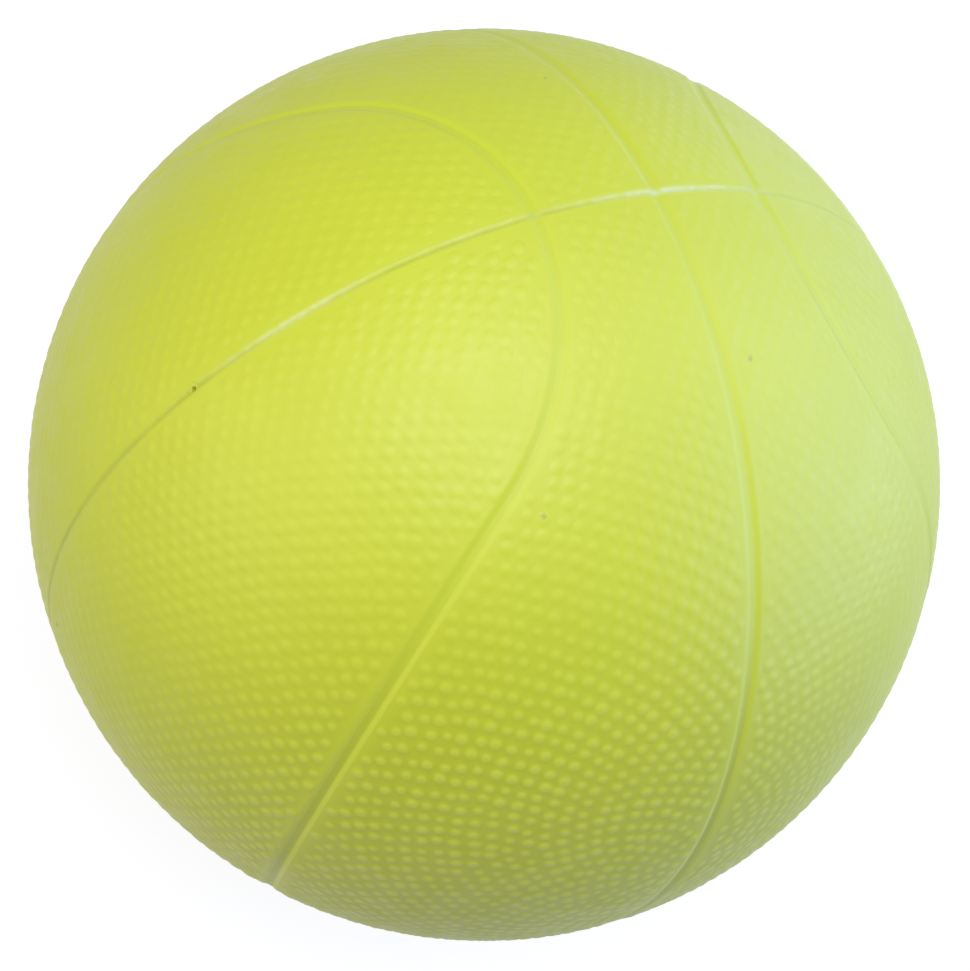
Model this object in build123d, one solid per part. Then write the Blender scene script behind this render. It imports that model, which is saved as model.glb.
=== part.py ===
from build123d import *
import os
from math import acos, atan2, cos, degrees, pi, radians, sin, sqrt

# An inflated rubber ball: a bladder wound with thread, a rubber carcass in two halves,
# and a moulded cover of eight panels with channel strips inlaid between them.
# Origin at the ball's centre. The ring channel lies in the plane Y = 0 and the cross channel
# in the plane X = 0, so they cross at +Z and -Z. A loop channel goes round +X and another round -X.

# Ball and its layers, in millimetres
ball_diameter = 215.9
channel_depth = 0.4
strip_thickness = 0.8
carcass_thickness = 0.4
winding_thickness = 0.3
bladder_thickness = 0.5

# Edge of a cover panel beside a channel, in millimetres
panel_edge_chamfer = 0.2

# Channel layout, as angles at the ball's centre, in degrees
loop_gap_angle = 14.63
loop_end_angle = 32.29
loop_waist_angle = 43.68
valve_angle = 56.5

# Valve, in millimetres: a plug with a needle hole and closed lips, in a housing on the bladder
needle_hole_diameter = 1.1
needle_hole_depth = 10.0
lip_length = 6.0
lip_taper = 0.5
plug_wall = 0.95
plug_clearance = 0.05
boss_wall = 3.0
boss_overhang = 0.7
boss_chamfer = 0.8
neck_wall = 2.0
patch_rim = 8.5
patch_thickness = 0.8

# Strip left on each side of the plug where it comes up through a channel, in millimetres
plug_web = 0.35

# Radii of the faces between the layers, from the cover inwards
ball_radius = ball_diameter / 2
floor_radius = ball_radius - channel_depth
cover_radius = floor_radius - strip_thickness
carcass_radius = cover_radius - carcass_thickness
winding_radius = carcass_radius - winding_thickness
bladder_radius = winding_radius - bladder_thickness
cover_thickness = ball_radius - cover_radius

# Valve and channel sizes that follow from the ones above
needle_hole_radius = needle_hole_diameter / 2
plug_radius = needle_hole_radius + plug_wall
bore_radius = plug_radius + plug_clearance
boss_radius = bore_radius + boss_wall
neck_radius = bore_radius + neck_wall
patch_radius = boss_radius + patch_rim
lip_start = floor_radius - needle_hole_depth
plug_tip = lip_start - lip_length
boss_end = plug_tip - boss_overhang
channel_width = 2 * (bore_radius + plug_web)

# A loop is two end arcs centred on the ring channel and two side arcs tangent to them.
# The side arc's radius is the one that makes it tangent and puts its middle at the waist.
end_arc = radians(loop_end_angle)
waist = radians(loop_waist_angle)
end_centre_angle = radians(loop_gap_angle) + end_arc
reach = sin(end_centre_angle)
side_arc = atan2(cos(end_arc) - reach * cos(waist), reach * sin(waist) - sin(end_arc))
side_centre_angle = waist - side_arc

end_centre = Vector(sin(end_centre_angle), 0, cos(end_centre_angle))
end_start = Vector(-cos(end_centre_angle), 0, sin(end_centre_angle))
side_centre = Vector(cos(side_centre_angle), sin(side_centre_angle), 0)
side_middle = Vector(-sin(side_centre_angle), cos(side_centre_angle), 0)
centre_gap = side_arc - end_arc
away_from_side = (end_centre * cos(centre_gap) - side_centre) / sin(centre_gap)
towards_end = (end_centre - side_centre * cos(centre_gap)) / sin(centre_gap)
end_sweep = acos(away_from_side.dot(end_start))
side_sweep = acos(towards_end.dot(side_middle))

RIGHT = Vector(1, 0, 0)
BACK = Vector(0, 1, 0)
UP = Vector(0, 0, 1)


def on_sphere(radius, across):
    """A point of the XZ plane on a sphere, at a distance from the Z axis."""
    return Vector(across, 0, sqrt(radius**2 - across**2))


def sphere_arc(start, end):
    """An arc about the ball's centre between two points of the XZ plane on one sphere."""
    middle = (start + end).normalized() * start.length
    return ThreePointArc(start, middle, end)


def across_channel(circle_angle, points):
    """Points of a channel's section, drawn about the Z axis, turned to the circle that it follows."""
    return [point.rotate(Axis.Y, degrees(circle_angle)) for point in points]


def strip_face(inner, outer, circle_angle):
    """The section of a channel strip, parallel-sided, between two spheres."""
    half = channel_width / 2
    bottom = [on_sphere(inner, -half), on_sphere(inner, half)]
    top = [on_sphere(outer, half), on_sphere(outer, -half)]
    a, b, c, d = across_channel(circle_angle, bottom + top)
    return make_face([sphere_arc(a, b), Line(b, c), sphere_arc(c, d), Line(d, a)])


def groove_face(circle_angle):
    """The section of the groove between two panels: strip sides, then the panels' chamfered edges."""
    half = channel_width / 2
    flare = half + panel_edge_chamfer + cover_thickness
    below = cover_radius - cover_thickness
    corner = ball_radius - panel_edge_chamfer
    above = ball_radius + cover_thickness
    right = [Vector(half, 0, below), Vector(half, 0, corner), Vector(flare, 0, above)]
    left = [Vector(-point.X, 0, point.Z) for point in reversed(right)]
    return make_face(Polyline(across_channel(circle_angle, right + left), close=True))


def sweep_round(face, axis, zero, start, sweep):
    """Turn a section about an axis through the ball's centre, from an angle past the zero direction."""
    turned = Rot(0, 0, degrees(start)) * revolve(face, Axis.Z, degrees(sweep))
    return Plane((0, 0, 0), x_dir=zero, z_dir=axis) * turned


def ring(face_at):
    """A section swept all along the ring channel, in the plane Y = 0."""
    return sweep_round(face_at(pi / 2), BACK, UP, 0, 2 * pi)


def half_loop(face_at):
    """A section swept along the back half of the right loop, past the ring channel at both ends."""
    past_ring = channel_width / ball_radius / sin(end_arc)
    top = sweep_round(face_at(end_arc), end_centre, end_start, -end_sweep, end_sweep + past_ring)
    side = sweep_round(face_at(side_arc), side_centre, side_middle, -side_sweep, 2 * side_sweep)
    return top + side + mirror(top, Plane.XY)


def strip(inner, outer):
    """The strip's section between two spheres, for any circle that it is swept round."""
    return lambda circle_angle: strip_face(inner, outer, circle_angle)


def along_valve(solid):
    """Stand a piece made on the Z axis along the valve's axis."""
    return Rot(0, -valve_angle, 0) * solid


def shell_sector(inner, outer, sweep):
    """A spherical layer from +X round towards +Y, between its poles at +Z and -Z."""
    face = make_face(
        [
            ThreePointArc(UP * outer, RIGHT * outer, UP * -outer),
            Line(UP * -outer, UP * -inner),
            ThreePointArc(UP * -inner, RIGHT * inner, UP * inner),
            Line(UP * inner, UP * outer),
        ]
    )
    return revolve(face, Axis.Z, sweep)


def pierced_shell(inner, outer, hole):
    """A closed spherical layer with one round hole for the valve."""
    near = [on_sphere(inner, hole), on_sphere(outer, hole)]
    far = [Vector(0, 0, -inner), Vector(0, 0, -outer)]
    face = make_face(
        [
            ThreePointArc(near[0], Vector(inner, 0, 0), far[0]),
            Line(far[0], far[1]),
            ThreePointArc(far[1], Vector(outer, 0, 0), near[1]),
            Line(near[1], near[0]),
        ]
    )
    return along_valve(revolve(face, Axis.Z))


def make_valve_housing():
    """Patch under the bladder, boss into the ball and neck out to the cover, on one bore."""
    patch_inside = bladder_radius - patch_thickness
    outline = [
        sphere_arc(on_sphere(cover_radius, bore_radius), on_sphere(cover_radius, neck_radius)),
        Line(on_sphere(cover_radius, neck_radius), on_sphere(bladder_radius, neck_radius)),
        sphere_arc(on_sphere(bladder_radius, neck_radius), on_sphere(bladder_radius, patch_radius)),
        Line(on_sphere(bladder_radius, patch_radius), on_sphere(patch_inside, patch_radius)),
        sphere_arc(on_sphere(patch_inside, patch_radius), on_sphere(patch_inside, boss_radius)),
        Polyline(
            on_sphere(patch_inside, boss_radius),
            Vector(boss_radius, 0, boss_end + boss_chamfer),
            Vector(boss_radius - boss_chamfer, 0, boss_end),
            Vector(bore_radius, 0, boss_end),
            on_sphere(cover_radius, bore_radius),
        ),
    ]
    return along_valve(revolve(make_face(outline), Axis.Z))


def make_valve_insert():
    """Round plug, flush with the channel floor, with a blind needle hole and tapered lips."""
    face = make_face(
        Polyline(
            Vector(needle_hole_radius, 0, floor_radius),
            Vector(plug_radius, 0, floor_radius),
            Vector(plug_radius, 0, lip_start),
            Vector(plug_radius - lip_taper, 0, plug_tip),
            Vector(0, 0, plug_tip),
            Vector(0, 0, lip_start),
            Vector(needle_hole_radius, 0, lip_start),
            close=True,
        )
    )
    return along_valve(revolve(face, Axis.Z))


def make_panels():
    """The oval panel and the waist panel of the right back quarter of the cover."""
    shell = shell_sector(cover_radius, ball_radius, 90)
    cross_groove = sweep_round(groove_face(pi / 2), RIGHT, UP, 0, 2 * pi)
    pieces = shell - ring(groove_face) - cross_groove - half_loop(groove_face)
    waist_panel, oval_panel = pieces.solids().sort_by(Axis.X)
    return {"oval_panel": oval_panel, "waist_panel": waist_panel}


def make_strips():
    """The ring strip, the back half of the cross strip and the back half of the right loop strip."""
    section = strip(cover_radius, floor_radius)
    ring_cut = ring(strip(cover_radius - strip_thickness, floor_radius + channel_depth))
    plug_hole = along_valve(Pos(0, 0, floor_radius) * Cylinder(bore_radius, needle_hole_depth))
    ring_strip = ring(section) - plug_hole
    cross_half = sweep_round(section(pi / 2), -RIGHT, UP, 0, pi) - ring_cut
    loop_half = half_loop(section) - ring_cut
    return ring_strip, cross_half, loop_half.solids().sort_by(Axis.Y)[-1]


nodes = {
    "bladder": pierced_shell(bladder_radius, winding_radius, neck_radius),
    "thread_winding": pierced_shell(winding_radius, carcass_radius, neck_radius),
    "valve_housing": make_valve_housing(),
    "valve_insert": make_valve_insert(),
}

carcass_right = Rot(0, 0, -90) * shell_sector(carcass_radius, cover_radius, 180)
neck_hole = along_valve(Pos(0, 0, cover_radius) * Cylinder(neck_radius, needle_hole_depth))
carcass_left = mirror(carcass_right, Plane.YZ) - neck_hole
nodes["carcass_left"] = carcass_left
nodes["carcass_right"] = carcass_right

ring_strip, cross_back, loop_right_back = make_strips()
nodes["ring_channel"] = ring_strip
nodes["cross_channel_back"] = cross_back
nodes["cross_channel_front"] = mirror(cross_back, Plane.XZ)

quarter_pieces = {"loop_channel": loop_right_back, **make_panels()}
for name, right_back in quarter_pieces.items():
    left_back = mirror(right_back, Plane.YZ)
    nodes[f"{name}_right_back"] = right_back
    nodes[f"{name}_left_back"] = left_back
    nodes[f"{name}_right_front"] = mirror(right_back, Plane.XZ)
    nodes[f"{name}_left_front"] = mirror(left_back, Plane.XZ)

os.makedirs("parts", exist_ok=True)
for name, shape in nodes.items():
    export_step(shape, f"parts/{name}.step")
    print(f"{name}: {len(shape.solids())} solid, {shape.volume:.1f} mm3")
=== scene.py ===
# %% [markdown]
# # A moulded rubber ball
# The ball is an inflated bladder inside a rubber cover. The cover is eight pebbled panels with shallow
# channels between them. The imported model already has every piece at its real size, so this lesson gives
# the pieces their skin: the pebbles, the soft grooves and the finish of the rubber. Everything is in metres.

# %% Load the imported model
from math import cos, pi, radians, sin, sqrt

import bmesh
import bpy
import numpy as np
from mathutils import Matrix, Vector


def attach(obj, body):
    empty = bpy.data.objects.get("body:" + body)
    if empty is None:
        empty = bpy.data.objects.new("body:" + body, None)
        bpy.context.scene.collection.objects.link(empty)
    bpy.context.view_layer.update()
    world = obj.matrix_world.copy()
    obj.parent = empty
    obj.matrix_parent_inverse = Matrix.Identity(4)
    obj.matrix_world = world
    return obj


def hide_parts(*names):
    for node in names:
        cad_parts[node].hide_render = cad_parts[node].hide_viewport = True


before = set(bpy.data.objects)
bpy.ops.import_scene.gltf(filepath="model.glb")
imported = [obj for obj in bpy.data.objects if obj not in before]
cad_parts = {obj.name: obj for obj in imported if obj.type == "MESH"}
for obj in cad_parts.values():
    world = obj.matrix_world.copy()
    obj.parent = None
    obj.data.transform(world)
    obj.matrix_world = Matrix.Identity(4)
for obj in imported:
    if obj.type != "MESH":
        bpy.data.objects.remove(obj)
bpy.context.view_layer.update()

# %% [markdown]
# ## Sizes of the cover
# A cover panel is a piece of spherical shell. The pebbles stand a little above the ball's radius and the skin
# between them lies a little below it, so the ball keeps its size over both together. The grooves are softer
# and a little wider than the channels, because the edges of moulded rubber are round. The ring's groove is
# narrower and shallower than the others.

# %% Ball and channel sizes
MM = 0.001
ball_radius = 107.95 * MM
cover_thickness = 1.2 * MM
cover_radius = ball_radius - cover_thickness
channel_width = 3.8 * MM
groove_depth = 0.42 * MM
groove_half_width = 2.1 * MM
groove_flat = 0.4 * MM
ring_half_width = 1.1 * MM
ring_rise = 1.25 * MM
hollow_depth = 0.05 * MM
channel_half_angle = np.arcsin(channel_width / 2 / ball_radius)
print("channel half angle:", round(float(np.degrees(channel_half_angle)), 3), "degrees")

# %% [markdown]
# ## Layout of the channels
# Four lines divide the ball: a ring in the plane Y = 0, a cross line in the plane X = 0 and a loop round each
# end of the X axis. A loop could be drawn as a free curve, but on a real mould it is two tight arcs and two
# wide ones. Each arc is a circle on the sphere, so a centre direction and an angle describe it exactly.

# %% Centres and angles of the loop's arcs
loop_gap, end_arc, waist, valve_angle = np.radians([14.63, 32.29, 43.68, 56.5])
end_centre_angle = loop_gap + end_arc
reach = sin(end_centre_angle)
side_arc = np.arctan2(cos(end_arc) - reach * cos(waist), reach * sin(waist) - sin(end_arc))
side_centre_angle = waist - side_arc

end_centre = np.array([sin(end_centre_angle), 0, cos(end_centre_angle)])
end_start = np.array([-cos(end_centre_angle), 0, sin(end_centre_angle)])
side_centre = np.array([cos(side_centre_angle), sin(side_centre_angle), 0])
side_middle = np.array([-sin(side_centre_angle), cos(side_centre_angle), 0])
BACK, UP = np.eye(3)[1:]

centre_gap = side_arc - end_arc
away_from_side = (end_centre * cos(centre_gap) - side_centre) / sin(centre_gap)
towards_end = (end_centre - side_centre * cos(centre_gap)) / sin(centre_gap)
end_sweep = np.arccos(away_from_side @ end_start)
side_sweep = np.arccos(towards_end @ side_middle)
valve_axis = np.array([-sin(valve_angle), 0, cos(valve_angle)])
print("side arc:", round(float(np.degrees(side_arc)), 2), "degrees")


# %% Distances from a point of the cover to the channel lines
def line_distances(directions):
    """Distances along the ball from each direction to the ring and to the nearest other line."""
    folded = np.abs(directions)
    ring = np.arcsin(np.clip(folded[:, 1], 0, 1))
    cross = np.arcsin(np.clip(folded[:, 0], 0, 1))
    to_end = np.abs(np.arccos(np.clip(folded @ end_centre, -1, 1)) - end_arc)
    to_side = np.abs(np.arccos(np.clip(folded @ side_centre, -1, 1)) - side_arc)
    split = np.cross(end_centre, side_centre)
    on_end = (folded @ split) * (end_start @ split) > 0
    loop = np.where(on_end, to_end, to_side)
    return ring * ball_radius, np.minimum(cross, loop) * ball_radius


def groove_share(directions):
    """Depth of the grooves, 0 on the panels and 1 on their floors; the ring's is narrower and shallower."""
    ring, others = line_distances(directions)
    narrow_ring = np.hypot(ring * groove_half_width / ring_half_width, ring_rise)
    across = np.minimum(narrow_ring, others)
    out = np.clip((across - groove_flat) / (groove_half_width - groove_flat), 0, 1)
    return 1 - out**2 * (3 - 2 * out)


print("from +X to the ring and to another channel:", line_distances(np.eye(3)[:1]))

# %% [markdown]
# ## Edges of the pieces
# Every panel and strip is bounded by lines that run beside a channel line at a small angle. If all of them
# come from the same three functions, neighbouring pieces meet along one line and no gap shows between them.


# %% Lines beside the channels, for the right back quarter
def circle(centre, zero, side, angle, turns):
    """Directions on a circle about a centre direction, at turns measured from zero towards side."""
    turns = np.asarray(turns)[:, None]
    return centre * cos(angle) + sin(angle) * (zero * np.cos(turns) + side * np.sin(turns))


def loop_line(offset, fractions):
    """The half loop from the ring channel's edge to its other end, shifted outwards by an angle."""
    end_angle, side_angle = end_arc + offset, side_arc + offset
    first = np.arcsin(sin(channel_half_angle) / sin(end_angle))
    end_length = sin(end_angle) * (end_sweep - first)
    side_length = sin(side_angle) * side_sweep
    along = np.asarray(fractions) * 2 * (end_length + side_length)
    from_middle = np.minimum(along, 2 * (end_length + side_length) - along)
    on_end = circle(end_centre, end_start, BACK, end_angle, first + from_middle / sin(end_angle))
    side_turn = (end_length + side_length - from_middle) / sin(side_angle)
    on_side = circle(side_centre, side_middle, UP, side_angle, side_turn)
    line = np.where((from_middle < end_length)[:, None], on_end, on_side)
    line[:, 2] *= np.where(along > end_length + side_length, -1, 1)
    return line


def cross_line(offset, fractions):
    """The back half of the cross channel between the ring's edges, shifted to the right by an angle."""
    first = np.arcsin(sin(channel_half_angle) / cos(offset))
    turns = first + np.asarray(fractions) * (pi - 2 * first)
    across = np.full_like(turns, sin(offset))
    return np.stack([across, cos(offset) * np.sin(turns), cos(offset) * np.cos(turns)], axis=1)


def ring_line(offset, first, last, fractions):
    """The ring channel's line between two angles from +Z towards +X, shifted to the back by an angle."""
    turns = first + np.asarray(fractions) * (last - first)
    across = np.full_like(turns, sin(offset))
    return np.stack([cos(offset) * np.sin(turns), across, cos(offset) * np.cos(turns)], axis=1)


loop_tip = loop_line(-channel_half_angle, [0.0])[0]
tip_angle = np.arctan2(loop_tip[0], loop_tip[2])
print("oval panel's tip from +Z:", round(float(np.degrees(tip_angle)), 2), "degrees")

# %% [markdown]
# ## Panel grids
# A panel needs an even, dense grid so that each pebble gets enough points. A remeshed sphere would leave
# ragged edges, so each panel is ruled across instead, from one edge line to the other, with finer cells
# beside the channels.

# %% Ruled grids
SHORTEST = 0.0001 * MM
fine_cells, fine_step = 8, 0.3 * MM


def fine_ended(length, count):
    """Fractions from 0 to 1 in count cells, where the first and last few are a fine step long."""
    length = np.maximum(length, SHORTEST)
    step = np.minimum(fine_step, length / count)
    middle = (length - 2 * fine_cells * step) / (count - 2 * fine_cells)
    is_fine = np.arange(count) < fine_cells
    is_fine |= np.arange(count) >= count - fine_cells
    cells = np.where(is_fine, np.atleast_1d(step)[:, None], np.atleast_1d(middle)[:, None])
    ends = np.cumsum(cells, axis=1) / np.sum(cells, axis=1, keepdims=True)
    return np.concatenate([np.zeros((len(ends), 1)), ends], axis=1)


def ruled(first_line, second_line, count):
    """A grid of directions along great circles between two lines of as many points."""
    gap = np.arccos(np.clip(np.sum(first_line * second_line, axis=1), -1, 1))
    fractions = fine_ended(gap * ball_radius, count)
    wide = np.maximum(gap, SHORTEST)[:, None]
    first_part = np.sin((1 - fractions) * wide) / np.sin(wide)
    second_part = np.sin(fractions * wide) / np.sin(wide)
    grid = first_part[..., None] * first_line[:, None] + second_part[..., None] * second_line[:, None]
    return grid / np.linalg.norm(grid, axis=2, keepdims=True)


print("fine cells beside a channel:", fine_cells, "of", fine_step / MM, "mm")

# %% Grids of one quarter's panels
cells_along, cells_across = 592, 140
panel_length = 320 * MM
along = fine_ended(np.array([panel_length]), cells_along)[0]
outside_loop = loop_line(channel_half_angle, along)
inside_loop = loop_line(-channel_half_angle, along)
beside_cross = cross_line(channel_half_angle, along)
beside_ring = ring_line(channel_half_angle, tip_angle, pi - tip_angle, along)
panel_grids = {
    "oval_panel": ruled(beside_ring, inside_loop, cells_across),
    "waist_panel": ruled(outside_loop, beside_cross, cells_across),
}
print({name: grid.shape for name, grid in panel_grids.items()})

# %% [markdown]
# ## Strip grids
# The strips lie in the channels' floors. Their grids are lines beside the channel line, one behind the other
# across the channel, so a strip bends exactly as its channel does.

# %% Strip grids
lines_across, strip_points, ring_points = 17, 401, 841
offsets = np.linspace(-channel_half_angle, channel_half_angle, lines_across)
strip_along = np.linspace(0, 1, strip_points)
ring_along = np.linspace(0, 1, ring_points)
strip_grids = {
    "loop_channel": np.stack([loop_line(offset, strip_along) for offset in offsets], axis=1),
    "cross_channel": np.stack([cross_line(offset, strip_along) for offset in offsets], axis=1),
    "ring_channel": np.stack([ring_line(offset, 0, 2 * pi, ring_along) for offset in offsets], axis=1),
}
print({name: grid.shape for name, grid in strip_grids.items()})

# %% [markdown]
# ## From a grid to a closed piece
# Panels and strips are solid rubber, so each gets an outer skin, an inner skin and walls. Only the outer skin
# carries pebbles, so the inner skin takes every fourth point, and the walls join the two with small fans of
# triangles.

# %% Closed shell from a grid of directions
INNER_STEP = 4
MERGE_DISTANCE = 0.0001 * MM


def wall_faces(outer, inner):
    """Triangles between a row of outer points and the inner row below, which has every fourth of them."""
    faces = []
    for number in range(len(inner) - 1):
        near, far = inner[number], inner[number + 1]
        top = outer[number * INNER_STEP:(number + 1) * INNER_STEP + 1]
        half = INNER_STEP // 2
        faces += [(near, top[i], top[i + 1]) for i in range(half)]
        faces.append((near, top[half], far))
        faces += [(far, top[i], top[i + 1]) for i in range(half, INNER_STEP)]
    return faces


def grid_faces(numbers):
    """Quads of a grid of point numbers."""
    corners = [numbers[:-1, :-1], numbers[1:, :-1], numbers[1:, 1:], numbers[:-1, 1:]]
    return np.stack(corners, axis=2).reshape(-1, 4)


def closed_mesh(name, points, faces):
    """A mesh with its seams merged and its faces turned outwards."""
    mesh = bpy.data.meshes.new(name)
    mesh.from_pydata(points.tolist(), [], faces)
    clean = bmesh.new()
    clean.from_mesh(mesh)
    bmesh.ops.remove_doubles(clean, verts=clean.verts, dist=MERGE_DISTANCE)
    bmesh.ops.recalc_face_normals(clean, faces=clean.faces)
    clean.to_mesh(mesh)
    clean.free()
    return mesh


def shell_mesh(name, grid, closed):
    """A closed shell between the ball's radius and the cover's underside, over a grid of directions."""
    inner_grid = grid[::INNER_STEP, ::INNER_STEP]
    outer = np.arange(grid.shape[0] * grid.shape[1]).reshape(grid.shape[:2])
    inner = outer.size + np.arange(inner_grid.shape[0] * inner_grid.shape[1]).reshape(inner_grid.shape[:2])
    points = np.concatenate([grid.reshape(-1, 3) * ball_radius, inner_grid.reshape(-1, 3) * cover_radius])
    faces = grid_faces(outer).tolist() + grid_faces(inner).tolist()
    faces += wall_faces(outer[:, 0], inner[:, 0]) + wall_faces(outer[:, -1], inner[:, -1])
    if not closed:
        faces += wall_faces(outer[0], inner[0]) + wall_faces(outer[-1], inner[-1])
    return closed_mesh(name, points, faces)


print("inner points: one for every", INNER_STEP, "outer ones along a row")

# %% [markdown]
# ## Numbers on the skin
# The pebbles and the finish differ from place to place: smooth in the grooves, low where hands have worn the
# ball, high where they haven't. Where they are high, the hollows also get painted shade and the tops a
# painted highlight. A painted picture could say so, but it needs unwrapping. A number stored on each point
# doesn't, and both the geometry tree and the materials can read it.

# %% Wear of the skin
# The same share also places the painted shade of the hollows and the painted highlight of the pebble tops,
# most on the side lowest in the camera's view.
unworn_way = np.array([-0.3, -0.93, -0.2])
worn_below, unworn_above = 0.5, 0.9


def relief_share(directions):
    """1 on the side that hands have worn least, 0 where they have worn the pebbles low."""
    share = np.clip((directions @ unworn_way - worn_below) / (unworn_above - worn_below), 0, 1)
    return share**2 * (3 - 2 * share)


print("relief at the front:", round(float(relief_share(np.array([[0, -1, 0]]))[0]), 2))


# %% Mark the outer skin, its distance from the channels, its grooves and its relief
def points_of(mesh):
    """The points of a mesh, one row each."""
    points = np.empty(len(mesh.vertices) * 3)
    mesh.vertices.foreach_get("co", points)
    return points.reshape(-1, 3)


def mark_points(mesh, name, values):
    """Store a number on each point of a mesh."""
    mesh.attributes.new(name, "FLOAT", "POINT").data.foreach_set("value", values)


def mark_skin(mesh):
    """Store on each point whether it is outer skin, its distance from the channels, its depth and relief."""
    points = points_of(mesh)
    radii = np.linalg.norm(points, axis=1)
    directions = points / radii[:, None]
    mark_points(mesh, "skin", (radii > (ball_radius + cover_radius) / 2).astype(float))
    mark_points(mesh, "channel_distance", np.minimum(*line_distances(directions)))
    mark_points(mesh, "groove", groove_share(directions))
    mark_points(mesh, "relief", relief_share(directions))


print("groove at +X, +Y and +Z:", groove_share(np.eye(3)))

# %% [markdown]
# ## Rubber of the cover
# The ball is one colour of satin rubber. Real rubber isn't even: the tone drifts over a few centimetres, the
# skin has a fine grain and a few specks stick to it. Light and shade are painted in too: the hollows between
# the pebbles get some dirt and painted shade, the pebble tops a painted highlight, the grooves and the seam
# painted shade, the channel floors painted shade with some dirt, and the rubbed places on the ring chalk with
# a painted highlight. The patterns read Object coordinates, which are metres on the ball, so they have one
# scale on all the pieces. The pebbles, grooves, relief and rubbed places are numbers stored on the points of
# each piece.


# %% Node helpers
def add_node(tree, kind, **settings):
    """A node of a tree with some of its settings."""
    made = tree.nodes.new(kind)
    for setting, value in settings.items():
        setattr(made, setting, value)
    return made


def give(socket, value):
    """Link an input to another socket, or set it to a plain value."""
    if isinstance(value, bpy.types.NodeSocket):
        socket.id_data.links.new(value, socket)
    else:
        socket.default_value = value


def set_inputs(made, **values):
    """Give a node's inputs by name."""
    for name, value in values.items():
        give(made.inputs[name.replace("_", " ")], value)
    return made


def maths(tree, operation, first, second=0.0):
    """A Math node with two inputs, each a socket or a number."""
    made = add_node(tree, "ShaderNodeMath", operation=operation)
    give(made.inputs[0], first)
    give(made.inputs[1], second)
    return made.outputs[0]


# %% Helpers for materials
# Numbers of the sockets of a Mix node that blends colours
MIX_SHARE, MIX_FIRST, MIX_SECOND, MIX_COLOUR = 0, 6, 7, 2


def noise(tree, place, scale, detail):
    """Noise on Object coordinates, with its scale per metre."""
    made = add_node(tree, "ShaderNodeTexNoise")
    return set_inputs(made, Vector=place, Scale=scale, Detail=detail).outputs["Fac"]


def spread(tree, value, low, high, to_low, to_high):
    """Map a range of values to another, and keep within it."""
    made = add_node(tree, "ShaderNodeMapRange")
    set_inputs(made, Value=value, From_Min=low, From_Max=high, To_Min=to_low, To_Max=to_high)
    return made.outputs["Result"]


def blend_colours(tree, share, first, second):
    """A colour between two others."""
    made = add_node(tree, "ShaderNodeMix", data_type="RGBA")
    give(made.inputs[MIX_SHARE], share)
    give(made.inputs[MIX_FIRST], first)
    give(made.inputs[MIX_SECOND], second)
    return made.outputs[MIX_COLOUR]


def new_material(name):
    """A material with its tree, its shader and its Object coordinates."""
    material = bpy.data.materials.new(name)
    material.use_nodes = True
    tree = material.node_tree
    place = add_node(tree, "ShaderNodeTexCoord").outputs["Object"]
    return material, tree, tree.nodes["Principled BSDF"], place


# %% Colours of the rubber
fresh_tone = (0.605, 0.67, 0.03, 1)
faded_tone = (0.58, 0.645, 0.027, 1)
# These six tones paint light and shade: hollows dark with dirt and shade, pebble tops pale as a highlight,
# channel floors dark with shade and dirt, grooves and the seam dark as shade, rubbed places pale with chalk
# and a highlight.
hollow_dirt_and_shade_tone = (0.47, 0.52, 0.01, 1)
pebble_top_highlight_tone = (0.7, 0.77, 0.075, 1)
floor_dirt_and_shade_tone = (0.28, 0.31, 0.01, 1)
groove_shade_tone = (0.57, 0.65, 0.026, 1)
seam_shade_tone = (0.45, 0.51, 0.025, 1)
chalk_and_highlight_tone = (0.66, 0.72, 0.25, 1)
dirt_tone = (0.3, 0.31, 0.05, 1)
print("tones of the rubber:", fresh_tone[:3], faded_tone[:3])

# %% Scales of the patterns, per metre
drift_scale, patch_scale, seam_breakup_scale, streak_scale = 22, 60, 150, 420
gloss_scale, grain_scale = 140, 2600
speck_scale, ragged_scale, ragged_reach = 38, 1400, 1.5 * MM
clean_margin = 2.6 * MM
print("patterns from", round(1 / drift_scale / MM), "mm down to", round(1 / grain_scale / MM, 1), "mm")


# %% Numbers on the points, in a material
def on_points(tree, name):
    """A number stored on the points of the piece."""
    return add_node(tree, "ShaderNodeAttribute", attribute_name=name).outputs["Fac"]


def times(tree, first, second):
    """Two numbers multiplied."""
    return maths(tree, "MULTIPLY", first, second)


# %% Dirt and specks
def dirt_and_shade_share(tree, place):
    """Share of dirt and painted shade: a little all over, most where the pebbles are least worn, in soft
    patches.
    """
    share = spread(tree, on_points(tree, "relief"), 0, 1, 0.04, 0.45)
    return times(tree, share, spread(tree, noise(tree, place, patch_scale, 4), 0.3, 0.6, 0.75, 1))


def dirt_specks(tree, place):
    """A few small ragged specks, where the middle of a cell comes near the skin."""
    ragged = add_node(tree, "ShaderNodeTexNoise")
    set_inputs(ragged, Vector=place, Scale=ragged_scale, Detail=2)
    shifted = add_node(tree, "ShaderNodeVectorMath", operation="MULTIPLY_ADD")
    shifted.inputs[1].default_value = (ragged_reach, ragged_reach, ragged_reach)
    tree.links.new(ragged.outputs["Color"], shifted.inputs[0])
    tree.links.new(place, shifted.inputs[2])
    cells = add_node(tree, "ShaderNodeTexVoronoi")
    set_inputs(cells, Vector=shifted.outputs[0], Scale=speck_scale)
    return spread(tree, cells.outputs["Distance"], 0.01, 0.03, 0.6, 0)


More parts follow.
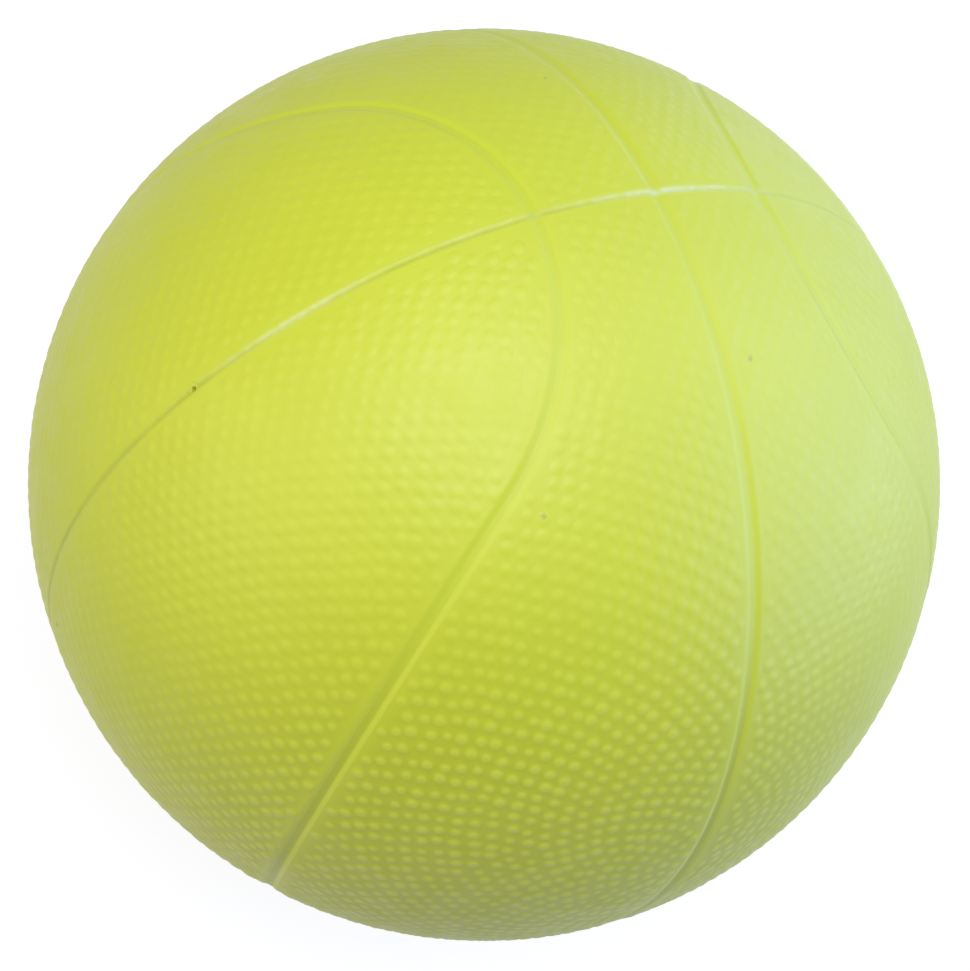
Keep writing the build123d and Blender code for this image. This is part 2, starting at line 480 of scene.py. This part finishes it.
# %% Cover and channel rubber
def rubber_colour(tree, place):
    """Drifting tone, hollows with dirt and painted shade, pebble tops with a painted highlight, grooves and
    seam with painted shade, channel floors with painted shade and dirt, rubbed places with chalk and a
    painted highlight, and specks.
    """
    drift = spread(tree, noise(tree, place, drift_scale, 3), 0.35, 0.65, 0, 1)
    colour = blend_colours(tree, drift, fresh_tone, faded_tone)
    # Hollows get dirt and painted shade, and pebble tops a painted highlight, most on the side lowest in the
    # camera's view.
    dirt_and_shade = dirt_and_shade_share(tree, place)
    hollow = spread(tree, on_points(tree, "pebble"), 0, 0.8, 1, 0)
    off_channels = spread(tree, on_points(tree, "channel_distance"), clean_margin, 2 * clean_margin, 0, 1)
    colour = blend_colours(tree, times(tree, times(tree, hollow, off_channels), dirt_and_shade), colour, hollow_dirt_and_shade_tone)
    top = spread(tree, on_points(tree, "pebble"), 0.1, 0.7, 0, 1)
    colour = blend_colours(tree, times(tree, top, dirt_and_shade), colour, pebble_top_highlight_tone)
    # Grooves painted darker as shade, and the channel floors darker still, with painted shade and some dirt.
    colour = blend_colours(tree, spread(tree, on_points(tree, "groove"), 0, 1, 0, 0.6), colour, groove_shade_tone)
    floor_line = spread(tree, on_points(tree, "groove"), 0.75, 1, 0, 1)
    colour = blend_colours(tree, times(tree, floor_line, dirt_and_shade), colour, floor_dirt_and_shade_tone)
    # Painted shade along the ring's seam, broken up by noise.
    seam_breakup = spread(tree, noise(tree, place, seam_breakup_scale, 3), 0.3, 0.6, 0.5, 1)
    colour = blend_colours(tree, times(tree, on_points(tree, "seam"), seam_breakup), colour, seam_shade_tone)
    streaks = spread(tree, noise(tree, place, streak_scale, 3), 0.35, 0.6, 0.3, 1)
    # Rubbed places on the ring: chalk with a painted highlight.
    colour = blend_colours(tree, times(tree, on_points(tree, "chalk_and_highlight"), streaks), colour, chalk_and_highlight_tone)
    return blend_colours(tree, dirt_specks(tree, place), colour, dirt_tone)


def satin_rubber(name):
    """Satin ball rubber with its colour, its uneven gloss and its fine grain."""
    material, tree, shader, place = new_material(name)
    tree.links.new(rubber_colour(tree, place), shader.inputs["Base Color"])
    rough = spread(tree, noise(tree, place, gloss_scale, 4), 0.3, 0.7, 0.4, 0.5)
    tree.links.new(rough, shader.inputs["Roughness"])
    shader.inputs["Specular IOR Level"].default_value = 0.5
    grain = add_node(tree, "ShaderNodeBump")
    set_inputs(grain, Strength=0.25, Distance=0.05 * MM, Height=noise(tree, place, grain_scale, 3))
    tree.links.new(grain.outputs["Normal"], shader.inputs["Normal"])
    return material


cover_rubber = satin_rubber("satin_cover_rubber")
channel_rubber = satin_rubber("satin_channel_rubber")
print("materials:", cover_rubber.name, channel_rubber.name)

# %% [markdown]
# ## The pebbled skin
# A ball's pebbles are thousands of low domes at an even spacing. They could be instances of one dome, but
# loose domes leave open edges on the panels. Here a Geometry Nodes tree scatters the pebble centres on a
# golden angle spiral, which spaces points evenly on a sphere, drops the ones that come too near a channel,
# and lifts the panel's own skin into a dome round each centre. The domes are lower where the skin is worn.
# The same tree sinks the skin into a soft groove along each channel line.


# %% Helpers for geometry trees
def vector_maths(tree, operation, first, second=None):
    """A Vector Math node with one or two vector inputs."""
    made = add_node(tree, "ShaderNodeVectorMath", operation=operation)
    tree.links.new(first, made.inputs[0])
    if second is not None:
        tree.links.new(second, made.inputs[1])
    return made.outputs["Value"] if operation == "DISTANCE" else made.outputs["Vector"]


def scaled(tree, vector, factor):
    """A vector times a number."""
    made = add_node(tree, "ShaderNodeVectorMath", operation="SCALE")
    tree.links.new(vector, made.inputs[0])
    tree.links.new(factor, made.inputs["Scale"])
    return made.outputs["Vector"]


def stored(tree, name):
    """A number stored on each point."""
    made = add_node(tree, "GeometryNodeInputNamedAttribute", data_type="FLOAT")
    made.inputs["Name"].default_value = name
    return made.outputs["Attribute"]


def store(tree, geometry, name, value):
    """Geometry with a number stored on each point."""
    made = add_node(tree, "GeometryNodeStoreNamedAttribute", data_type="FLOAT", domain="POINT")
    made.inputs["Name"].default_value = name
    tree.links.new(geometry, made.inputs["Geometry"])
    tree.links.new(value, made.inputs["Value"])
    return made.outputs[0]


# %% Tree inputs
skin_inputs = {
    "Pebble Count": 11800,
    "Pebble Radius": 1.7 * MM,
    "Pebble Height": 0.26 * MM,
    "Worn Height": 0.14 * MM,
    "Pebble Softness": 1.1,
    "Hollow Depth": hollow_depth,
    "Smooth Margin": 3.1 * MM,
    "Groove Depth": groove_depth,
    "Jitter": 0.42 * MM,
    "Least Size": 0.7,
    "Ball Radius": ball_radius,
    "Seed": 7,
}
print("tree inputs:", list(skin_inputs))


# %% Empty geometry tree
def new_tree(name, inputs):
    """An empty geometry tree with a geometry input and output, number inputs and a material input."""
    tree = bpy.data.node_groups.new(name, "GeometryNodeTree")
    tree.interface.new_socket("Geometry", in_out="INPUT", socket_type="NodeSocketGeometry")
    tree.interface.new_socket("Geometry", in_out="OUTPUT", socket_type="NodeSocketGeometry")
    for label, value in inputs.items():
        kind = "NodeSocketInt" if isinstance(value, int) else "NodeSocketFloat"
        tree.interface.new_socket(label, in_out="INPUT", socket_type=kind).default_value = value
    tree.interface.new_socket("Material", in_out="INPUT", socket_type="NodeSocketMaterial")
    return tree, add_node(tree, "NodeGroupInput").outputs, add_node(tree, "NodeGroupOutput").inputs


# %% Pebble centres on a golden angle spiral
GOLDEN_ANGLE = pi * (3 - sqrt(5))


def spiral_points(tree, given):
    """Points spread evenly over the whole ball by the golden angle, each shifted a little at random."""
    number = add_node(tree, "GeometryNodeInputIndex").outputs[0]
    odd = maths(tree, "ADD", maths(tree, "MULTIPLY", number, 2.0), 1.0)
    along_axis = maths(tree, "SUBTRACT", 1.0, maths(tree, "DIVIDE", odd, given["Pebble Count"]))
    squared = maths(tree, "MULTIPLY", along_axis, along_axis)
    around = maths(tree, "SQRT", maths(tree, "SUBTRACT", 1.0, squared))
    turn = maths(tree, "MULTIPLY", number, GOLDEN_ANGLE)
    place = add_node(tree, "ShaderNodeCombineXYZ")
    tree.links.new(maths(tree, "MULTIPLY", around, maths(tree, "COSINE", turn)), place.inputs["X"])
    tree.links.new(along_axis, place.inputs["Y"])
    tree.links.new(maths(tree, "MULTIPLY", around, maths(tree, "SINE", turn)), place.inputs["Z"])
    shift = add_node(tree, "FunctionNodeRandomValue", data_type="FLOAT_VECTOR")
    shift.inputs["Min"].default_value = (-1, -1, -1)
    tree.links.new(given["Seed"], shift.inputs["Seed"])
    on_ball = scaled(tree, place.outputs[0], given["Ball Radius"])
    moved = vector_maths(tree, "ADD", on_ball, scaled(tree, shift.outputs[0], given["Jitter"]))
    on_ball_again = scaled(tree, vector_maths(tree, "NORMALIZE", moved), given["Ball Radius"])
    points = add_node(tree, "GeometryNodePoints")
    tree.links.new(given["Pebble Count"], points.inputs["Count"])
    spread_out = add_node(tree, "GeometryNodeSetPosition")
    tree.links.new(points.outputs[0], spread_out.inputs["Geometry"])
    tree.links.new(on_ball_again, spread_out.inputs["Position"])
    return spread_out.outputs[0]


# %% Keep the centres that lie on the piece and clear of its channels
OFF_PIECE = 0.2 * MM


def centres_on_piece(tree, given, points):
    """The pebble centres on this piece, without the ones inside the smooth margin."""
    place = add_node(tree, "GeometryNodeInputPosition").outputs[0]
    near = add_node(tree, "GeometryNodeProximity", target_element="FACES")
    tree.links.new(given["Geometry"], near.inputs[0])
    tree.links.new(place, near.inputs["Sample Position"])
    sampled = add_node(tree, "GeometryNodeSampleNearestSurface", data_type="FLOAT")
    tree.links.new(given["Geometry"], sampled.inputs["Mesh"])
    tree.links.new(stored(tree, "channel_distance"), sampled.inputs["Value"])
    tree.links.new(place, sampled.inputs["Sample Position"])
    off_piece = maths(tree, "GREATER_THAN", near.outputs["Distance"], OFF_PIECE)
    in_margin = maths(tree, "LESS_THAN", sampled.outputs["Value"], given["Smooth Margin"])
    kept = add_node(tree, "GeometryNodeDeleteGeometry", domain="POINT")
    tree.links.new(points, kept.inputs["Geometry"])
    tree.links.new(maths(tree, "ADD", off_piece, in_margin), kept.inputs["Selection"])
    return kept.outputs[0]


# %% Dome height at each point of the skin
# Numbers of the sockets of a Random Value node that gives plain numbers
RANDOM_LEAST, RANDOM_NUMBER = 2, 1


def from_nearest(tree, points, number, kind, value):
    """A value that the nearest pebble centre has."""
    made = add_node(tree, "GeometryNodeSampleIndex", data_type=kind, domain="POINT")
    tree.links.new(points, made.inputs["Geometry"])
    tree.links.new(value, made.inputs["Value"])
    tree.links.new(number, made.inputs["Index"])
    return made.outputs[0]


def dome(tree, given, centres):
    """Height of the dome at a point, from 0 in the hollows to 1 on top, and the dome's size."""
    place = add_node(tree, "GeometryNodeInputPosition").outputs[0]
    nearest = add_node(tree, "GeometryNodeSampleNearest", domain="POINT")
    tree.links.new(centres, nearest.inputs["Geometry"])
    size = add_node(tree, "FunctionNodeRandomValue", data_type="FLOAT")
    tree.links.new(given["Least Size"], size.inputs[RANDOM_LEAST])
    tree.links.new(given["Seed"], size.inputs["Seed"])
    centre = from_nearest(tree, centres, nearest.outputs[0], "FLOAT_VECTOR", place)
    share = from_nearest(tree, centres, nearest.outputs[0], "FLOAT", size.outputs[RANDOM_NUMBER])
    radius = maths(tree, "MULTIPLY", given["Pebble Radius"], share)
    ratio = maths(tree, "DIVIDE", vector_maths(tree, "DISTANCE", place, centre), radius)
    squared = maths(tree, "MULTIPLY", ratio, ratio)
    left = maths(tree, "MAXIMUM", maths(tree, "SUBTRACT", 1.0, squared), 0.0)
    return maths(tree, "POWER", left, given["Pebble Softness"]), share


# %% The whole tree
def make_skin_tree():
    """Lift pebbles and sink grooves in the outer skin of a cover piece."""
    tree, given, result = new_tree("pebbled_skin", skin_inputs)
    centres = centres_on_piece(tree, given, spiral_points(tree, given))
    height, share = dome(tree, given, centres)
    below_hollows = maths(tree, "SUBTRACT", given["Groove Depth"], given["Hollow Depth"])
    sunk = maths(tree, "MULTIPLY", stored(tree, "groove"), below_hollows)
    worn_off = maths(tree, "SUBTRACT", given["Pebble Height"], given["Worn Height"])
    full = maths(tree, "ADD", maths(tree, "MULTIPLY", stored(tree, "relief"), worn_off), given["Worn Height"])
    lift = maths(tree, "MULTIPLY", maths(tree, "MULTIPLY", height, share), full)
    level = maths(tree, "SUBTRACT", lift, maths(tree, "ADD", sunk, given["Hollow Depth"]))
    rise = maths(tree, "MULTIPLY", level, stored(tree, "skin"))
    outwards = vector_maths(tree, "NORMALIZE", add_node(tree, "GeometryNodeInputPosition").outputs[0])
    marked = store(tree, given["Geometry"], "pebble", height)
    moved = add_node(tree, "GeometryNodeSetPosition")
    tree.links.new(marked, moved.inputs["Geometry"])
    tree.links.new(scaled(tree, outwards, rise), moved.inputs["Offset"])
    real = add_node(tree, "GeometryNodeRealizeInstances")
    tree.links.new(moved.outputs[0], real.inputs[0])
    painted = add_node(tree, "GeometryNodeSetMaterial")
    tree.links.new(real.outputs[0], painted.inputs["Geometry"])
    tree.links.new(given["Material"], painted.inputs["Material"])
    tree.links.new(painted.outputs[0], result[0])
    return tree


skin_tree = make_skin_tree()
print("skin tree nodes:", len(skin_tree.nodes))


# %% Run the tree on a piece and keep the plain mesh
sharp_angle = radians(50)


def skinned_piece(name, grid, material, closed=False):
    """A cover piece from its grid, with the skin tree's result as its own mesh."""
    mesh = shell_mesh(name, grid, closed)
    mark_skin(mesh)
    piece = bpy.data.objects.new(name, mesh)
    bpy.context.scene.collection.objects.link(piece)
    modifier = piece.modifiers.new("skin", "NODES")
    modifier.node_group = skin_tree
    given = [item for item in skin_tree.interface.items_tree if item.in_out == "INPUT"]
    sockets = {item.name: item.identifier for item in given}
    for label, value in skin_inputs.items():
        modifier[sockets[label]] = value
    modifier[sockets["Material"]] = material
    evaluated = piece.evaluated_get(bpy.context.evaluated_depsgraph_get())
    finished = bpy.data.meshes.new_from_object(evaluated)
    piece.modifiers.remove(modifier)
    piece.data = finished
    bpy.data.meshes.remove(mesh)
    finished.shade_smooth()
    finished.set_sharp_from_angle(angle=sharp_angle)
    return piece


# %% [markdown]
# ## The four quarters
# The cover's quarters mirror each other, so one quarter's grid is enough: a change of sign gives the others.
# The pebbles don't mirror, because the spiral goes round the whole ball.

# %% Panels and strips of the four quarters
quarters = {
    "right_back": (1, 1, 1),
    "left_back": (-1, 1, 1),
    "right_front": (1, -1, 1),
    "left_front": (-1, -1, 1),
}
cover_pieces = {}
for quarter, signs in quarters.items():
    for kind, grid in panel_grids.items():
        node = f"{kind}_{quarter}"
        cover_pieces[node] = (skinned_piece(f"{node}_skin", grid * signs, cover_rubber), "cover_rubber")
    node = f"loop_channel_{quarter}"
    grid = strip_grids["loop_channel"] * signs
    cover_pieces[node] = (skinned_piece(f"{node}_skin", grid, channel_rubber), "channel_rubber")
for side, sign in {"back": 1, "front": -1}.items():
    node = f"cross_channel_{side}"
    grid = strip_grids["cross_channel"] * (1, sign, 1)
    cover_pieces[node] = (skinned_piece(f"{node}_skin", grid, channel_rubber), "channel_rubber")
print("cover pieces:", len(cover_pieces))

# %% [markdown]
# ## The ring strip, its valve hole and the plug
# The ring strip goes all the way round, so its grid closes on itself. The valve plug comes up through it, and
# a Boolean cut with a cylinder leaves a clean round hole. On the real ball the plug is squeezed in and its
# face lies in the skin, so only the needle hole shows. The plug is a turned shape, so rings of points about
# the valve's axis make it, and the rings of its face are set on the skin of the groove.

# %% Valve sizes
plug_radius = 1.53 * MM
bore_radius = 1.55 * MM
bore_length = 10 * MM
needle_radius = 0.55 * MM
needle_chamfer = 0.1 * MM
needle_depth = 10.4 * MM
lip_length = 6 * MM
lip_taper = 0.5 * MM
points_round, face_rings = 64, 10
valve_side = np.array([cos(valve_angle), 0, sin(valve_angle)])
print("gap round the plug:", round((bore_radius - plug_radius) / MM, 3), "mm")


# %% Ring strip with the plug's hole
def cut_valve_hole(piece):
    """Cut the plug's hole through a piece, along the valve's axis."""
    cutter = bmesh.new()
    turn = Vector((0, 0, 1)).rotation_difference(Vector(valve_axis)).to_matrix().to_4x4()
    place = Matrix.Translation(Vector(valve_axis) * ball_radius) @ turn
    size = {"radius1": bore_radius, "radius2": bore_radius, "depth": bore_length}
    bmesh.ops.create_cone(cutter, cap_ends=True, segments=points_round, matrix=place, **size)
    cutter_mesh = bpy.data.meshes.new("valve_hole")
    cutter.to_mesh(cutter_mesh)
    cutter.free()
    tool = bpy.data.objects.new("valve_hole", cutter_mesh)
    bpy.context.scene.collection.objects.link(tool)
    cut = piece.modifiers.new("hole", "BOOLEAN")
    cut.object = tool
    evaluated = piece.evaluated_get(bpy.context.evaluated_depsgraph_get())
    holed = bpy.data.meshes.new_from_object(evaluated)
    piece.modifiers.remove(cut)
    bpy.data.objects.remove(tool)
    piece.data = holed
    holed.set_sharp_from_angle(angle=sharp_angle)


ring_piece = skinned_piece("ring_channel_skin", strip_grids["ring_channel"], channel_rubber, closed=True)
cut_valve_hole(ring_piece)
cover_pieces["ring_channel"] = (ring_piece, "channel_rubber")
print("ring strip faces:", len(ring_piece.data.polygons))


# %% Valve plug
def ring_about_valve(radius, height):
    """A ring of points about the valve's axis, at a height from the ball's centre."""
    turns = np.linspace(0, 2 * pi, points_round, endpoint=False)[:, None]
    return valve_axis * height + radius * (valve_side * np.cos(turns) + BACK * np.sin(turns))


def ring_on_skin(radius, depth=0.0):
    """A ring of points about the valve's axis, on the skin of the groove or a little below it."""
    directions = ring_about_valve(radius, ball_radius)
    directions /= np.linalg.norm(directions, axis=1, keepdims=True)
    skin = ball_radius - hollow_depth - groove_share(directions) * (groove_depth - hollow_depth)
    return directions * (skin - depth)[:, None]


def make_plug():
    """The valve plug, from the bottom of its needle hole over its face and down to its tapered lips."""
    lip_start = ball_radius - needle_depth
    face_radii = np.linspace(needle_radius + needle_chamfer, plug_radius, face_rings)
    rings = [ring_about_valve(needle_radius, lip_start), ring_on_skin(needle_radius, needle_chamfer)]
    rings += [ring_on_skin(radius) for radius in face_radii]
    rings.append(ring_about_valve(plug_radius, lip_start))
    rings.append(ring_about_valve(plug_radius - lip_taper, lip_start - lip_length))
    points = np.concatenate(rings)
    numbers = np.arange(len(points)).reshape(len(rings), -1)
    caps = [numbers[0].tolist(), numbers[-1].tolist()]
    around = np.concatenate([numbers, numbers[:, :1]], axis=1)
    mesh = closed_mesh("valve_plug_skin", points, grid_faces(around).tolist() + caps)
    mesh.shade_smooth()
    mesh.set_sharp_from_angle(angle=sharp_angle)
    mesh.materials.append(channel_rubber)
    mark_points(mesh, "groove", groove_share(points / np.linalg.norm(points, axis=1, keepdims=True)))
    piece = bpy.data.objects.new("valve_plug_skin", mesh)
    bpy.context.scene.collection.objects.link(piece)
    return piece


plug_piece = make_plug()
print("plug faces:", len(plug_piece.data.polygons))

# %% [markdown]
# ## The seam
# The ring is the line where the two halves of the mould met. Its groove gets painted shade, darkest round
# one side of the ring, and in places chalk with a painted highlight, where it is rubbed. The marks could be
# painted as pictures, but numbers worked out from a point's angle along the ring follow it exactly. Each
# rubbed place is an angle from +Z towards +X, a reach in degrees and a strength.

# %% Seam along the ring, with its painted shade and its rubbed places
chalk_and_highlight_places = [(-43, 8, 0.85), (-20, 9, 0.25), (2, 11, 1.0), (96, 14, 0.7), (158, 10, 0.9), (233, 12, 0.5)]
chalk_and_highlight_half_width = 1.1 * MM
seam_half_width = 0.75 * MM
darkest_seam_angle = -75


def mark_seam(mesh):
    """Store on each point of the ring how much painted shade its seam gets, and how much chalk and painted
    highlight.
    """
    x, y, z = points_of(mesh).T
    angles = np.degrees(np.arctan2(x, z))
    # Rubbed places: chalk with a painted highlight, each spread along the ring.
    chalk_and_highlight = np.zeros(len(x))
    for angle, angle_reach, strength in chalk_and_highlight_places:
        apart = (angles - angle + 180) % 360 - 180
        chalk_and_highlight = np.maximum(chalk_and_highlight, strength * np.exp(-((apart / angle_reach) ** 2)))
    mark_points(mesh, "chalk_and_highlight", chalk_and_highlight * np.clip(1 - (y / chalk_and_highlight_half_width) ** 2, 0, 1))
    # Painted shade on the seam, darkest round one side of the ring.
    seam_shade_share = 0.5 + 0.5 * np.cos(np.radians(angles - darkest_seam_angle))
    mark_points(mesh, "seam", seam_shade_share * (1 - chalk_and_highlight) * np.exp(-((y / seam_half_width) ** 2)))


for piece in (ring_piece, plug_piece):
    mark_seam(piece.data)
print("rubbed places:", len(chalk_and_highlight_places))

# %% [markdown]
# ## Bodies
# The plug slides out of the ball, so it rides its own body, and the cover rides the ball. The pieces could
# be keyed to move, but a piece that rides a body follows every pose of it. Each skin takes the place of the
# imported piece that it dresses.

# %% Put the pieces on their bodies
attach(plug_piece, "valve_plug")
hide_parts("valve_insert")
for node, (piece, slot) in cover_pieces.items():
    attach(piece, "ball")
    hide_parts(node)
cover_meshes = [piece.data for piece, _ in cover_pieces.values()]
print("cover triangles:", sum(len(mesh.loops) - 2 * len(mesh.polygons) for mesh in cover_meshes))

# %% [markdown]
# ## Pieces inside the ball
# The bladder, the winding, the carcass and the valve housing never show in a whole ball, but they are seen
# when the model is opened or the plug is out, so each gets the finish of its own rubber or thread.

# %% Inner rubber and thread
dust_scale, sheen_scale, mould_grain_scale, thread_scale = 45, 90, 900, 480


def inner_rubber(name, tone, dusty_tone):
    """Matt rubber with mould dust in patches."""
    material, tree, shader, place = new_material(name)
    dust = spread(tree, noise(tree, place, dust_scale, 5), 0.4, 0.7, 0, 1)
    tree.links.new(blend_colours(tree, dust, tone, dusty_tone), shader.inputs["Base Color"])
    sheen = spread(tree, noise(tree, place, sheen_scale, 3), 0.3, 0.7, 0.6, 0.8)
    tree.links.new(sheen, shader.inputs["Roughness"])
    grain = add_node(tree, "ShaderNodeBump")
    set_inputs(grain, Strength=0.3, Distance=0.1 * MM, Height=noise(tree, place, mould_grain_scale, 3))
    tree.links.new(grain.outputs["Normal"], shader.inputs["Normal"])
    return material


def wound_thread(name, tone, gap_tone):
    """Nylon thread wound in bands, with rubber between the turns."""
    material, tree, shader, place = new_material(name)
    turned = add_node(tree, "ShaderNodeMapping")
    set_inputs(turned, Vector=place, Rotation=(0.6, 0.9, 0.3))
    threads = add_node(tree, "ShaderNodeTexWave", wave_type="BANDS")
    set_inputs(threads, Vector=turned.outputs[0], Scale=thread_scale, Distortion=1.5, Detail=2.0)
    tree.links.new(blend_colours(tree, threads.outputs["Fac"], gap_tone, tone), shader.inputs["Base Color"])
    tree.links.new(spread(tree, threads.outputs["Fac"], 0, 1, 0.8, 0.45), shader.inputs["Roughness"])
    lift = add_node(tree, "ShaderNodeBump")
    set_inputs(lift, Strength=0.6, Distance=0.2 * MM, Height=threads.outputs["Fac"])
    tree.links.new(lift.outputs["Normal"], shader.inputs["Normal"])
    return material


bladder_rubber = inner_rubber("matt_bladder_rubber", (0.02, 0.02, 0.022, 1), (0.07, 0.07, 0.068, 1))
carcass_rubber = inner_rubber("matt_carcass_rubber", (0.045, 0.045, 0.045, 1), (0.1, 0.098, 0.09, 1))
winding_nylon = wound_thread("wound_winding_nylon", (0.72, 0.7, 0.62, 1), (0.2, 0.19, 0.17, 1))
inner_finishes = {
    "valve_housing": bladder_rubber,
    "bladder": bladder_rubber,
    "carcass_left": carcass_rubber,
    "carcass_right": carcass_rubber,
    "thread_winding": winding_nylon,
}
for node, material in inner_finishes.items():
    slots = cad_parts[node].data.materials
    slots.clear()
    slots.append(material)
print("inner finishes:", list(inner_finishes))

# %% [markdown]
# ## Camera
# The ball's outline in the photograph is a circle, which gives the lens once the distance is chosen. The
# channels' crossings give the direction and the roll.

# %% Camera at the photograph's viewing angle
image_width, image_height = 970, 971
outline_radius_px = 456
outline_centre_px = (484.0, 484.5)
camera_distance = 4.858 * ball_radius
camera_azimuth, camera_elevation, camera_roll = radians(-48.07), radians(50.01), radians(30.38)

backwards = Vector((
    sin(camera_azimuth) * cos(camera_elevation),
    -cos(camera_azimuth) * cos(camera_elevation),
    sin(camera_elevation),
))
level_right = Vector((cos(camera_azimuth), sin(camera_azimuth), 0))
level_up = backwards.cross(level_right)
right = level_right * cos(camera_roll) + level_up * sin(camera_roll)
up = level_up * cos(camera_roll) - level_right * sin(camera_roll)

camera_data = bpy.data.cameras.new("camera")
camera = bpy.data.objects.new("camera", camera_data)
bpy.context.scene.collection.objects.link(camera)
camera_turn = Matrix((right, up, backwards)).transposed().to_4x4()
camera.matrix_world = Matrix.Translation(backwards * camera_distance) @ camera_turn
focal_px = outline_radius_px * sqrt((camera_distance / ball_radius) ** 2 - 1)
camera_data.sensor_width = 36.0
longest_side = max(image_width, image_height)
camera_data.lens = camera_data.sensor_width * focal_px / longest_side
camera_data.shift_x = (image_width / 2 - outline_centre_px[0]) / longest_side
camera_data.shift_y = (outline_centre_px[1] - image_height / 2) / longest_side
bpy.context.scene.camera = camera
print("lens:", round(camera_data.lens, 2), "mm")

# %% [markdown]
# ## Floor and light
# A pale floor and large soft lamps, as in a small studio. The floor and the world are white to the camera,
# and the floor still takes the ball's shadow. One strong lamp would be simpler, but it would leave hard edges
# of light on the satin rubber.


# %% Floor
def white_to_camera(tree, strength):
    """Strength that only rays from the camera, reflections and glass see."""
    path = add_node(tree, "ShaderNodeLightPath").outputs
    seen = maths(tree, "MAXIMUM", path["Is Camera Ray"], path["Is Glossy Ray"])
    seen = maths(tree, "MAXIMUM", seen, path["Is Transmission Ray"])
    return maths(tree, "MULTIPLY", seen, strength)


floor_size = 40.0
floor_gap = 0.2 * MM
paper_grey, paper_glow = 0.2, 0.88
floor_mesh = bpy.data.meshes.new("floor")
corner = floor_size / 2
floor_height = -ball_radius - floor_gap
corners = ((-corner, -corner), (corner, -corner), (corner, corner), (-corner, corner))
floor_mesh.from_pydata([(x, y, floor_height) for x, y in corners], [], [(0, 1, 2, 3)])
floor = bpy.data.objects.new("floor", floor_mesh)
bpy.context.scene.collection.objects.link(floor)
floor_material, tree, shader, _ = new_material("floor_paper")
shader.inputs["Base Color"].default_value = (paper_grey, paper_grey, paper_grey, 1)
shader.inputs["Roughness"].default_value = 0.9
shader.inputs["Specular IOR Level"].default_value = 0.0
shader.inputs["Emission Color"].default_value = (1, 1, 1, 1)
tree.links.new(white_to_camera(tree, paper_glow), shader.inputs["Emission Strength"])
floor_mesh.materials.append(floor_material)
print("floor:", floor_size, "m wide, at", round(floor_height / MM, 2), "mm")


# %% Lamps
def soft_lamp(name, direction, power, colour, distance=1.0, size=0.8):
    """A square soft lamp that faces the ball, in a direction given as right, up and to the camera."""
    data = bpy.data.lights.new(name, "AREA")
    data.size = size
    data.energy = power
    data.color = colour
    lamp = bpy.data.objects.new(name, data)
    bpy.context.scene.collection.objects.link(lamp)
    to_right, to_top, to_camera = direction
    aim = (right * to_right + up * to_top + backwards * to_camera).normalized()
    lamp.matrix_world = Matrix.Translation(aim * distance) @ aim.to_track_quat("Z", "Y").to_matrix().to_4x4()
    return lamp


warm_white = (1.0, 0.92, 0.75)
cool_white = (0.8, 0.81, 1.0)
sky_white = (0.34, 0.41, 1.0)
lamps = [
    soft_lamp("key_lamp", (0, 0.3, 0.95), 9.0, cool_white),
    soft_lamp("left_lamp", (-0.8, 0, 0.6), 4.1, warm_white),
    soft_lamp("upper_right_lamp", (0.6, 0.6, 0.55), 3.2, sky_white),
    soft_lamp("right_lamp", (1, 0, 0.2), 16.2, sky_white, size=1.2),
    soft_lamp("back_lamp", (0.7, 0.6, -0.3), 2.7, sky_white),
]
print("watts:", {lamp.name: round(lamp.data.energy, 1) for lamp in lamps})

# %% World
world = bpy.data.worlds.new("studio")
bpy.context.scene.world = world
world.use_nodes = True
sky = world.node_tree.nodes["Background"]
sky.inputs["Color"].default_value = (1, 1, 1, 1)
ambient = 0.02
world_seen = maths(world.node_tree, "MAXIMUM", white_to_camera(world.node_tree, 1.0), ambient)
world.node_tree.links.new(world_seen, sky.inputs["Strength"])
bpy.context.scene.view_settings.view_transform = "Standard"
print("world:", world.name, "with ambient light", ambient)
